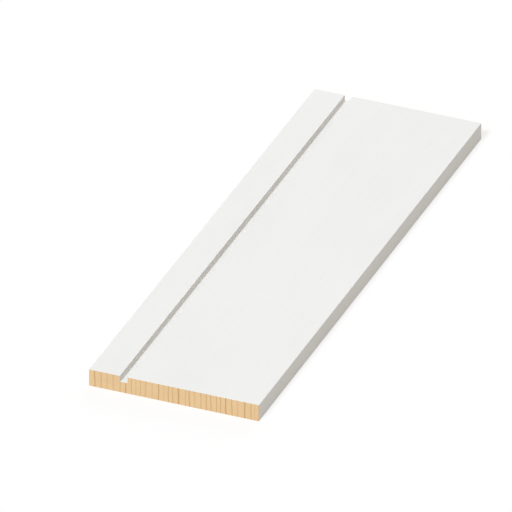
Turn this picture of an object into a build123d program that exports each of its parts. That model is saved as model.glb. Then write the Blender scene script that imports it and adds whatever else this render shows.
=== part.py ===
"""A length of baseboard: one moulded pine board with a square reveal groove along its face.

The board lies on its back. X runs along its length, +Y points to its top edge (up the wall once
it is fixed), and +Z points out of its face. The origin is the middle of the back, which goes on the wall.
"""

import os

from build123d import *

# Board, in millimetres: the 9/16 by 5-1/2 inch section, in an 18 inch length.
LENGTH = 457.2
WIDTH = 139.7
THICKNESS = 14.2875

# Reveal groove: a 1/4 inch slot, 1 inch below the top edge, open at the face and at both ends.
GROOVE_WIDTH = 6.35
GROOVE_DEPTH = 5.0
GROOVE_TO_TOP_EDGE = 25.4

# The long edges leave the moulder sharp and are eased lightly before priming.
ARRIS_RADIUS = 0.4


def groove_section():
    """The slot, from its floor up to the face. Its upper wall is the one towards the top edge."""
    upper_wall = WIDTH / 2 - GROOVE_TO_TOP_EDGE
    slot = Rectangle(GROOVE_WIDTH, GROOVE_DEPTH, align=(Align.MAX, Align.MAX))
    return Pos(upper_wall, THICKNESS) * slot


def board_section():
    """The section across the board: its back on the axis, its face up, and the corners of both eased."""
    blank = Rectangle(WIDTH, THICKNESS, align=(Align.CENTER, Align.MIN))
    section = blank - groove_section()
    corners_by_height = section.vertices().group_by(Axis.Y)
    back_corners, face_corners = corners_by_height[0], corners_by_height[-1]
    return fillet(back_corners + face_corners, ARRIS_RADIUS)


def baseboard():
    """The section run out along the board and crosscut square at both ends."""
    return extrude(Plane.YZ * board_section(), LENGTH / 2, both=True)


os.makedirs("parts", exist_ok=True)
export_step(baseboard(), "parts/baseboard.step")
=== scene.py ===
"""Looks of a grooved baseboard: white primer on its face and edges, sawn end grain, planed pine behind.

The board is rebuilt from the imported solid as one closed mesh, fine enough at its ends to hold the relief
of the sawn growth rings. The same rings run through the wood, so both ends and the back show one grain.
"""

from collections import namedtuple
import math

import bpy
import numpy as np
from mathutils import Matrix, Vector


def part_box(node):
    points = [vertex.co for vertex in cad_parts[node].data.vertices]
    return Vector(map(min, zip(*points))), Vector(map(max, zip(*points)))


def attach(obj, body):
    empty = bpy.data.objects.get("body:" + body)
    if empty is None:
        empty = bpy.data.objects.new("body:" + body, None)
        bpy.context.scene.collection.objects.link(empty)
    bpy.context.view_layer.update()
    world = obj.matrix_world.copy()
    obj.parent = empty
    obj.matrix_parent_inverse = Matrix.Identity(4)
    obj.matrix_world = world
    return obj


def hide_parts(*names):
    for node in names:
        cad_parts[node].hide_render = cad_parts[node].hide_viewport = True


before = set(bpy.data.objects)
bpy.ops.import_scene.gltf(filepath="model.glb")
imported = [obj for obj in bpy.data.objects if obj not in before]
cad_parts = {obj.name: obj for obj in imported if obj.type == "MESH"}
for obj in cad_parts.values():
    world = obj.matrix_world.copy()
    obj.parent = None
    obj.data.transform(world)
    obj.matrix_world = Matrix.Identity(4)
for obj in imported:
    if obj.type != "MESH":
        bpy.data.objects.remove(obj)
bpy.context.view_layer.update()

NODE = "baseboard"

# A millimetre in metres, and the distance below which two places count as one.
MM = 0.001
TOUCHING = 0.001 * MM

# How finely the board is divided across, through and along it, and round each eased arris.
COLUMN_STEP = 0.3 * MM
ROW_STEP = 0.4 * MM
STATION_STEP = 19 * MM
ARRIS_STEPS = 6

# Faces that meet at more than this angle are shaded as two, with an edge between them.
SHARP_EDGE = math.radians(35)

# Growth rings: the widths of the narrowest, the usual and the widest, measured across the board.
# They come at random, from a seed picked because its dark lines fall near the pictured ones.
RING_WIDTHS = (2.1 * MM, 3.6 * MM, 7.4 * MM)
RING_SEED = 9202046

# How the rings stray from straight: how far to each side, and the length of one radian of that sway.
# For the lean, the first number is a slope instead of a distance.
RING_SWEEP = (1.3 * MM, 95 * MM)
RING_DRIFT = (0.35 * MM, 31 * MM)
RING_WAVER = (0.1 * MM, 2.6 * MM)
RING_LEAN = (0.02, 16 * MM)

# Dark latewood in a ring: where it begins, is full, starts to end and has ended, as shares of the ring.
# The faintest ring shows this share of the darkest one's latewood.
LATEWOOD = (0.68, 0.90, 0.955, 1.0)
FAINTEST_RING = 0.35

# Relief of the sawn ends: how far the soft earlywood lies below the latewood, and the arcs of the saw.
EARLYWOOD_SUNK = 0.015 * MM
SAW_RADIUS = 125 * MM
SAW_MARK_DEPTH = 0.015 * MM
SAW_MARK_PITCH = 2.2 * MM
SAW_MARK_STRAY = (0.5 * MM, 1.7 * MM)

# Clear border round each part of the bake map, as a share of the map's side.
MAP_MARGIN = 0.012

# Colours: primer, its painted shade on the groove's walls, then early and late wood on the ends and back.
WHITE = (1.0, 1.0, 1.0, 1.0)
PRIMER_WHITE = (0.918, 0.918, 0.901, 1.0)
PRIMER_SHADE = (0.838, 0.838, 0.821, 1.0)
# Painted shade: the groove's walls get a darker, warmer copy of the primer, darkening the recess more than
# the lamps do.
WALL_PAINTED_SHADE_LIGHTER = (0.842, 0.826, 0.802, 1.0)
WALL_PAINTED_SHADE_DARKER = (0.787, 0.770, 0.744, 1.0)
END_EARLY = (0.790, 0.566, 0.311, 1.0)
END_LATE = (0.600, 0.340, 0.147, 1.0)
BACK_EARLY = (0.810, 0.610, 0.375, 1.0)
BACK_LATE = (0.640, 0.420, 0.215, 1.0)

# Octaves of noise in a soft layer of a material, and in a fine one.
SOFT_DETAIL = 2.0
FINE_DETAIL = 3.0

# The size of each layer's features along, across and through the board.
CLOUD = (80 * MM, 33 * MM, 33 * MM)
STREAK = (70 * MM, 1.1 * MM, 1.1 * MM)
STIPPLE = (1.8 * MM, 1.8 * MM, 1.8 * MM)
RAY = (5.0 * MM, 2.9 * MM, 0.2 * MM)
PORE = (0.25 * MM, 0.25 * MM, 0.25 * MM)
END_PATCH = (50 * MM, 20 * MM, 12 * MM)
FIBRE = (33 * MM, 0.29 * MM, 0.29 * MM)
BACK_PATCH = (170 * MM, 20 * MM, 20 * MM)
KNIFE_PITCH = 1.9 * MM

# Finishes: how much each layer of a material, and a plain base, adds to its tone, roughness and height.
Finish = namedtuple("Finish", "tone roughness height gloss")
PRIMED = Finish(
    tone={"cloud": 0.6, "streak": 0.5, "stipple": 0.2, "grain": 0.12},
    roughness={"base": 0.7, "streak": 0.12, "stipple": 0.1},
    height={"stipple": 0.10 * MM, "streak": 0.020 * MM, "grain": 0.010 * MM},
    gloss=0.15,
)
SAWN = Finish(
    tone={"base": 0.81, "rays": 0.14, "pores": 0.18, "patch": 0.06},
    roughness={"base": 0.74, "pores": 0.1, "grain": -0.12},
    height={"pores": 0.02 * MM, "rays": 0.008 * MM},
    gloss=0.3,
)
PLANED = Finish(
    tone={"base": 0.85, "fibres": 0.16, "patch": 0.14},
    roughness={"base": 0.58, "fibres": 0.15, "grain": -0.12},
    height={"fibres": 0.012 * MM, "grain": 0.008 * MM, "knife": 0.003 * MM},
    gloss=0.35,
)

# Light on a level face, as shares of the level at which a colour renders as it is written.
# The sky is a little warm and the key a little cool, so that only the shaded sides look warm.
# The key comes from above the near end, and a weak fill from low beyond the far end.
SKY_LEVEL = np.array((0.470, 0.450, 0.415))
FILL_LEVEL = np.array((0.075, 0.075, 0.075))
KEY_LEVEL = 1 - SKY_LEVEL - FILL_LEVEL
KEY_FROM = Vector((-0.70, 0.10, 0.72))
KEY_SPREAD = math.radians(15)
FILL_FROM = Vector((0.97, 0.0, 0.25))
FILL_SPREAD = math.radians(50)

# Floor: its side, how far it lies below the board, the light it throws back, and how much it glows.
FLOOR_SIDE = 12.0
FLOOR_GAP = 0.05 * MM
FLOOR_BOUNCE = (0.650, 0.626, 0.596, 1.0)
FLOOR_GLOW = 0.7

# Camera: a very long lens, because the picture shows the board in parallel projection.
PICTURE_PX = 512
LENS_MM = 1500
SENSOR_MM = 36
CAMERA_AZIMUTH = math.radians(-67.81)
CAMERA_ELEVATION = math.radians(30.74)
CAMERA_DISTANCE = 16.406
BOARD_MIDDLE_PX = (287.05, 261.10)


# The section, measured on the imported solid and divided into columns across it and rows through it.

Groove = namedtuple("Groove", "lower_wall upper_wall floor arris")


def measure_groove():
    """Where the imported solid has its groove's walls and floor, and the radius of its eased arrises."""
    corners = np.array([vertex.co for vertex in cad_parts[NODE].data.vertices])
    across, height = corners[:, 1], corners[:, 2]
    on_face = np.isclose(height, height.max(), atol=TOUCHING)
    arris = across.max() - across[on_face].max()
    # The only corners deeper than the arrises are those of the groove's floor.
    from_back_or_face = np.minimum(height - height.min(), height.max() - height)
    on_floor = from_back_or_face > arris + TOUCHING
    return Groove(across[on_floor].min(), across[on_floor].max(), height[on_floor].mean(), arris)


def steps_between(start, end, step):
    """Evenly spaced places from start to end, about a step apart."""
    return np.linspace(start, end, round(abs(end - start) / step) + 1)


def eased_run(start, end, arris):
    """Places across a flat from one eased edge to the other, closer together round the two arrises."""
    inset = arris * (1 - np.cos(np.linspace(0, math.pi / 2, ARRIS_STEPS + 1)))
    flat = steps_between(start + arris, end - arris, COLUMN_STEP)
    return np.concatenate([start + inset, flat[1:-1], end - inset[::-1]])


def arris_drop(distance, arris):
    """How far an eased corner has fallen away at this distance in from the edge."""
    short = np.clip(arris - distance, 0, arris)
    return arris - np.sqrt(arris**2 - short**2)


def section_columns(low, high, groove):
    """Places across the board, and the numbers of the two that are the groove's walls."""
    below = eased_run(low.y, groove.lower_wall, groove.arris)
    within = steps_between(groove.lower_wall, groove.upper_wall, COLUMN_STEP)
    above = eased_run(groove.upper_wall, high.y, groove.arris)
    lower = len(below) - 1
    return np.concatenate([below, within[1:-1], above]), lower, lower + len(within) - 1


def section_rows(low, high, groove, across):
    """Heights in each column from the back to the face, and which row is on the groove's floor."""
    outer_drop = arris_drop(np.minimum(across - low.y, high.y - across), groove.arris)
    mouth = np.maximum(groove.lower_wall - across, across - groove.upper_wall)
    back = (low.z + outer_drop)[:, None]
    face = (high.z - np.maximum(outer_drop, arris_drop(mouth, groove.arris)))[:, None]
    to_floor = steps_between(low.z, groove.floor, ROW_STEP)
    to_face = steps_between(groove.floor, high.z, ROW_STEP)
    under = back + (groove.floor - back) * np.linspace(0, 1, len(to_floor))
    over = groove.floor + (face - groove.floor) * np.linspace(0, 1, len(to_face))
    return np.concatenate([under, over[:, 1:]], axis=1), len(to_floor) - 1


def section_grid():
    """The section's points (across, height), the four-cornered cells that fill it, and its outline."""
    low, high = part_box(NODE)
    groove = measure_groove()
    across, lower, upper = section_columns(low, high, groove)
    heights, floor = section_rows(low, high, groove, across)
    filled = np.ones(heights.shape, bool)
    filled[lower + 1:upper, floor + 1:] = False
    number = np.where(filled, np.cumsum(filled).reshape(filled.shape) - 1, -1)
    columns = np.broadcast_to(across[:, None], heights.shape)
    points = np.stack([columns[filled], heights[filled]], axis=1)
    cells = np.stack([number[:-1, :-1], number[1:, :-1], number[1:, 1:], number[:-1, 1:]], axis=-1)
    cells = cells.reshape(-1, 4)
    outline = np.concatenate([
        number[:-1, 0],
        number[-1, :-1],
        number[:upper:-1, -1],
        number[upper, :floor:-1],
        number[upper:lower:-1, floor],
        number[lower, floor:-1],
        number[lower:0:-1, -1],
        number[0, :0:-1],
    ])
    return points, cells[(cells >= 0).all(axis=1)], outline


# The wood: growth rings that run the length of the board.

def stray(limits, place):
    """A gentle sway to either side as the place changes."""
    distance, length = limits
    return distance * np.sin(place / length)


def ring_count(places):
    """How many growth rings lie below each place. The fraction is the place's age in its own ring."""
    along, across, through = places.T
    lean = through * stray(RING_LEAN, across)
    sway = stray(RING_SWEEP, along) + stray(RING_DRIFT, along + across)
    waver = stray(RING_WAVER, through + across)
    straight = across + lean + sway + waver
    narrowest = RING_WIDTHS[0]
    most = math.ceil(np.ptp(straight) / narrowest)
    widths = np.random.default_rng(RING_SEED).triangular(*RING_WIDTHS, most)
    borders = straight.min() - narrowest + np.concatenate([[0], np.cumsum(widths)])
    return np.interp(straight, borders, np.arange(len(borders)))


def smooth_step(value, start, end):
    """0 before start, 1 after end, and an even curve between them."""
    share = np.clip((value - start) / (end - start), 0, 1)
    return share * share * (3 - 2 * share)


def latewood_share(rings):
    """How much of each place is dark latewood, by its age in the ring."""
    begins, full, fades, ended = LATEWOOD
    age = rings % 1
    return smooth_step(age, begins, full) * (1 - smooth_step(age, fades, ended))


def end_relief(points, rings):
    """How far each point of a sawn end lies below its plane: earlywood sinks, and the saw left arcs."""
    across, through = points.T
    cut = through + np.sqrt(SAW_RADIUS**2 - across**2)
    stroke = (cut + stray(SAW_MARK_STRAY, cut)) / SAW_MARK_PITCH
    saw_marks = SAW_MARK_DEPTH * (1 + np.sin(2 * math.pi * stroke)) / 2
    return EARLYWOOD_SUNK * (1 - latewood_share(rings)) + saw_marks


# The mesh: both ends as fine grids, and the outline carried from one to the other.

def board_vertices(points, outline, stations):
    """The near end's points, the far end's and the outline at each station between, with ring counts."""
    start, *between, end = stations
    layers = [np.insert(points, 0, x, axis=1) for x in (start, end)]
    layers += [np.insert(points[outline], 0, x, axis=1) for x in between]
    places = np.concatenate(layers)
    rings = ring_count(places)
    near, far = slice(0, len(points)), slice(len(points), 2 * len(points))
    places[near, 0] += end_relief(points, rings[near])
    places[far, 0] -= end_relief(points, rings[far])
    return places, rings


def side_faces(outline, point_count, station_count):
    """The faces round the board, from station to station along it and step by step round the outline."""
    first_between = 2 * point_count
    between = first_between + np.arange((station_count - 2) * len(outline)).reshape(-1, len(outline))
    loops = np.concatenate([outline[None], between, outline[None] + point_count])
    after = np.roll(loops, -1, axis=1)
    faces = np.stack([loops[:-1], after[:-1], after[1:], loops[1:]], axis=-1)
    return faces.reshape(-1, 4)


def bake_map(points, cells, outline, stations):
    """Each face corner's place on a square map: the sides unrolled as one sheet, the two ends larger."""
    room = 1 - 2 * MAP_MARGIN
    low, high = points.min(axis=0), points.max(axis=0)
    end_scale = room / (high[0] - low[0])
    near_end = (points - low) * end_scale + MAP_MARGIN
    end_height = np.array([0, (high[1] - low[1]) * end_scale + MAP_MARGIN])
    far_end = near_end + end_height

    side_scale = room / (stations[-1] - stations[0])
    closed = points[np.append(outline, outline[0])]
    girth = np.append(0, np.cumsum(np.linalg.norm(np.diff(closed, axis=0), axis=1)))
    sheet = np.stack(np.meshgrid(stations - stations[0], girth, indexing="ij"), axis=-1)
    sheet = sheet * side_scale + MAP_MARGIN + 2 * end_height
    sides = np.stack([sheet[:-1, :-1], sheet[:-1, 1:], sheet[1:, 1:], sheet[1:, :-1]], axis=2)
    corners = [near_end[cells[:, ::-1]], far_end[cells], sides]
    return np.concatenate([part.reshape(-1, 2) for part in corners])


def side_surfaces(points, outline, surfaces):
    """Which surface each step round the outline has: planed back, groove wall with painted shade, or
    primer.
    """
    low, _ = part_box(NODE)
    groove = measure_groove()
    across, height = points[outline].T
    next_across, next_height = np.roll(across, -1), np.roll(height, -1)
    on_back = np.maximum(height, next_height) < low.z + TOUCHING
    upright = np.isclose(across, next_across, atol=TOUCHING)
    in_groove = (across > groove.lower_wall - TOUCHING) & (across < groove.upper_wall + TOUCHING)
    on_wall = upright & in_groove
    return np.select([on_back, on_wall], [surfaces["back"], surfaces["wall"]], surfaces["primed"])


def board_mesh(materials):
    """The whole board: primed sides, painted shade on the groove's walls, a planed back and sawn ends."""
    low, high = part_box(NODE)
    points, cells, outline = section_grid()
    stations = steps_between(low.x, high.x, STATION_STEP)
    places, rings = board_vertices(points, outline, stations)
    sides = side_faces(outline, len(points), len(stations))
    faces = np.concatenate([cells[:, ::-1], cells + len(points), sides])

    mesh = bpy.data.meshes.new("baseboard_board")
    mesh.from_pydata(places.tolist(), [], faces.tolist())
    for material in materials.values():
        mesh.materials.append(material)
    surfaces = {name: index for index, name in enumerate(materials)}
    ends = np.full(2 * len(cells), surfaces["end"])
    round_it = np.tile(side_surfaces(points, outline, surfaces), len(stations) - 1)
    mesh.polygons.foreach_set("material_index", np.concatenate([ends, round_it]))
    mesh.attributes.new("rings", "FLOAT", "POINT").data.foreach_set("value", rings.astype(np.float32))
    map_corners = bake_map(points, cells, outline, stations)
    mesh.uv_layers.new(name="OFBake").uv.foreach_set("vector", map_corners.astype(np.float32).ravel())
    mesh.polygons.foreach_set("use_smooth", np.ones(len(faces), bool))
    mesh.set_sharp_from_angle(angle=SHARP_EDGE)
    mesh.validate()
    return mesh


# Shader nodes.

# Where a mix node keeps its colours: they come after its plain numbers and vectors.
MIX_SHARE, MIX_FIRST, MIX_SECOND, MIX_RESULT = 0, 6, 7, 2


def new_material(name):
    """A material with a plain shader, and its nodes."""
    material = bpy.data.materials.new(name)
    material.use_nodes = True
    return material, material.node_tree


def add(tree, kind, sockets, **settings):
    """Adds a node. Each named or numbered socket is linked to another node's or holds a plain value."""
    node = tree.nodes.new("ShaderNode" + kind)
    for name, value in settings.items():
        setattr(node, name, value)
    for key, value in sockets.items():
        if isinstance(value, bpy.types.NodeSocket):
            tree.links.new(value, node.inputs[key])
        else:
            node.inputs[key].default_value = value
    return node


def calculate(tree, operation, *values):
    """The result of one step of arithmetic."""
    return add(tree, "Math", dict(enumerate(values)), operation=operation).outputs[0]


def blend_colours(tree, share, first, second, way="MIX"):
    """The first colour, changed by this share of the second."""
    sockets = {MIX_SHARE: share, MIX_FIRST: first, MIX_SECOND: second}
    return add(tree, "Mix", sockets, data_type="RGBA", blend_type=way).outputs[MIX_RESULT]


def curve_between(tree, value, start, end, low=0.0, high=1.0):
    """A smooth change from low to high while the value goes from start to end."""
    sockets = {"Value": value, "From Min": start, "From Max": end, "To Min": low, "To Max": high}
    return add(tree, "MapRange", sockets, interpolation_type="SMOOTHSTEP").outputs["Result"]


def noise(tree, size, octaves=SOFT_DETAIL):
    """Noise from 0 to 1 with features of this size along, across and through the board."""
    place = add(tree, "TexCoord", {}).outputs["Object"]
    in_features = add(tree, "VectorMath", {0: place, 1: size}, operation="DIVIDE").outputs[0]
    sockets = {"Vector": in_features, "Scale": 1.0, "Detail": octaves}
    return add(tree, "TexNoise", sockets).outputs["Fac"]


def latewood(tree):
    """How much of a place is latewood, as latewood_share gives it, but fainter in some rings."""
    begins, full, fades, ended = LATEWOOD
    rings = add(tree, "Attribute", {}, attribute_name="rings").outputs["Fac"]
    age = calculate(tree, "FRACT", rings)
    rise = curve_between(tree, age, begins, full)
    fall = curve_between(tree, age, fades, ended, 1.0, 0.0)
    which = calculate(tree, "FLOOR", rings)
    chance = add(tree, "TexWhiteNoise", {"W": which}, noise_dimensions="1D").outputs["Value"]
    strength = curve_between(tree, chance, 0.0, 1.0, FAINTEST_RING, 1.0)
    return calculate(tree, "MULTIPLY", calculate(tree, "MULTIPLY", rise, fall), strength)


def sum_of(tree, layers, weights):
    """The base in the weights, plus each layer named there times its weight."""
    total = weights.get("base", 0.0)
    for name, weight in weights.items():
        if name != "base":
            total = calculate(tree, "MULTIPLY_ADD", layers[name], weight, total)
    return total


def finish_surface(tree, colour, layers, finish):
    """Gives the material's shader its colour, and its roughness, relief and gloss from the layers."""
    shader = tree.nodes["Principled BSDF"]
    height = sum_of(tree, layers, finish.height)
    bump = add(tree, "Bump", {"Height": height, "Distance": 1.0, "Strength": 1.0})
    tree.links.new(colour, shader.inputs["Base Color"])
    tree.links.new(sum_of(tree, layers, finish.roughness), shader.inputs["Roughness"])
    tree.links.new(bump.outputs["Normal"], shader.inputs["Normal"])
    shader.inputs["Specular IOR Level"].default_value = finish.gloss


def finish_wood(tree, early, late, layers, finish):
    """Pine: early and late wood by its rings, toned by the other layers."""
    wood = blend_colours(tree, layers["grain"], early, late)
    colour = blend_colours(tree, 1.0, wood, sum_of(tree, layers, finish.tone), "MULTIPLY")
    finish_surface(tree, colour, layers, finish)


# Materials.

def white_primer(name, white, shade):
    """Flat primer: a fine spray stipple, faint streaks along the board, and grain just showing through."""
    material, tree = new_material(name)
    layers = {
        "cloud": noise(tree, CLOUD),
        "streak": noise(tree, STREAK, FINE_DETAIL),
        "stipple": noise(tree, STIPPLE, FINE_DETAIL),
        "grain": latewood(tree),
    }
    colour = blend_colours(tree, sum_of(tree, layers, PRIMED.tone), white, shade)
    finish_surface(tree, colour, layers, PRIMED)
    return material


def sawn_end():
    """Crosscut pine: rings through the thickness, fine rays across them, and open pores."""
    material, tree = new_material("sawn_end")
    layers = {
        "grain": latewood(tree),
        "rays": noise(tree, RAY),
        "pores": noise(tree, PORE),
        "patch": noise(tree, END_PATCH),
    }
    finish_wood(tree, END_EARLY, END_LATE, layers, SAWN)
    return material


def planed_back():
    """Planed pine: straight grain along the board, fine fibres, and the ripple of the planer's knives."""
    material, tree = new_material("planed_back")
    place = add(tree, "TexCoord", {}).outputs["Object"]
    along = add(tree, "SeparateXYZ", {0: place}).outputs["X"]
    turn = calculate(tree, "MULTIPLY", along, 2 * math.pi / KNIFE_PITCH)
    layers = {
        "grain": latewood(tree),
        "fibres": noise(tree, FIBRE, FINE_DETAIL),
        "patch": noise(tree, BACK_PATCH),
        "knife": calculate(tree, "SINE", turn),
    }
    finish_wood(tree, BACK_EARLY, BACK_LATE, layers, PLANED)
    return material


# Floor, light and camera.

def seen_directly(tree):
    """1 for rays from the camera, a mirror or glass, and 0 for the light that falls on the board."""
    path = add(tree, "LightPath", {}).outputs
    mirrored = calculate(tree, "MAXIMUM", path["Is Glossy Ray"], path["Is Transmission Ray"])
    return calculate(tree, "MAXIMUM", path["Is Camera Ray"], mirrored)


def pale_floor():
    """A surface that looks white and keeps a faint shadow, but lights the board as pale grey would."""
    material, tree = new_material("floor")
    tree.nodes.remove(tree.nodes["Principled BSDF"])
    glow = add(tree, "Emission", {"Color": WHITE, "Strength": 1.0}).outputs[0]
    lit = add(tree, "BsdfDiffuse", {"Color": WHITE}).outputs[0]
    shown = add(tree, "MixShader", {0: FLOOR_GLOW, 1: lit, 2: glow}).outputs[0]
    bounce = add(tree, "BsdfDiffuse", {"Color": FLOOR_BOUNCE}).outputs[0]
    surface = add(tree, "MixShader", {0: seen_directly(tree), 1: bounce, 2: shown}).outputs[0]
    tree.links.new(surface, tree.nodes["Material Output"].inputs["Surface"])
    return material


def floor():
    """A level floor under the board."""
    half = FLOOR_SIDE / 2
    mesh = bpy.data.meshes.new("floor")
    corners = [(-half, -half, 0), (half, -half, 0), (half, half, 0), (-half, half, 0)]
    mesh.from_pydata(corners, [], [(0, 1, 2, 3)])
    mesh.materials.append(pale_floor())
    plane = bpy.data.objects.new("floor", mesh)
    plane.location.z = -FLOOR_GAP
    bpy.context.scene.collection.objects.link(plane)
    return plane


def sky():
    """An even sky that lights the board softly and looks white."""
    world = bpy.data.worlds.new("sky")
    world.use_nodes = True
    tree = world.node_tree
    colour = blend_colours(tree, seen_directly(tree), (*SKY_LEVEL, 1.0), WHITE)
    tree.links.new(colour, tree.nodes["Background"].inputs["Color"])
    bpy.context.scene.world = world


def lamp(name, source, spread, level):
    """A soft lamp far away in the source's direction, which gives a level face this much light."""
    light = bpy.data.lights.new(name, "SUN")
    light.angle = spread
    light.color = level
    # At an energy of pi, a face square to the lamp shows its colour as it is written.
    light.energy = math.pi / source.normalized().z
    holder = bpy.data.objects.new(name, light)
    holder.rotation_euler = source.to_track_quat("Z", "Y").to_euler()
    bpy.context.scene.collection.objects.link(holder)


def camera():
    """The picture's view, aimed so that the middle of the board's back falls on its place there."""
    lens = bpy.data.cameras.new("camera")
    lens.lens = LENS_MM
    lens.sensor_width = SENSOR_MM
    lens.clip_end = 2 * CAMERA_DISTANCE
    turn, lift = CAMERA_AZIMUTH, CAMERA_ELEVATION
    back = Vector((math.sin(turn) * math.cos(lift), -math.cos(turn) * math.cos(lift), math.sin(lift)))
    right = Vector((math.cos(turn), math.sin(turn), 0))
    up = back.cross(right)
    metres_per_px = CAMERA_DISTANCE * SENSOR_MM / LENS_MM / PICTURE_PX
    off_right = (BOARD_MIDDLE_PX[0] - PICTURE_PX / 2) * metres_per_px
    off_down = (BOARD_MIDDLE_PX[1] - PICTURE_PX / 2) * metres_per_px
    eye = bpy.data.objects.new("camera", lens)
    eye.location = back * CAMERA_DISTANCE - right * off_right + up * off_down
    eye.rotation_euler = back.to_track_quat("Z", "Y").to_euler()
    bpy.context.scene.collection.objects.link(eye)
    bpy.context.scene.camera = eye


def board():
    """The finished board, as one piece."""
    materials = {
        "primed": white_primer("white_primer", PRIMER_WHITE, PRIMER_SHADE),
        # Painted shade: the groove's walls take the darker copy of the primer.
        "wall": white_primer("wall_primer_painted_shade", WALL_PAINTED_SHADE_LIGHTER, WALL_PAINTED_SHADE_DARKER),
        "end": sawn_end(),
        "back": planed_back(),
    }
    piece = bpy.data.objects.new("board", board_mesh(materials))
    bpy.context.scene.collection.objects.link(piece)
    return piece


whole_board = board()
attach(whole_board, "root")
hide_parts(NODE)
floor()
sky()
lamp("key", KEY_FROM, KEY_SPREAD, KEY_LEVEL)
lamp("fill", FILL_FROM, FILL_SPREAD, FILL_LEVEL)
camera()
bpy.context.scene.view_settings.view_transform = "Standard"
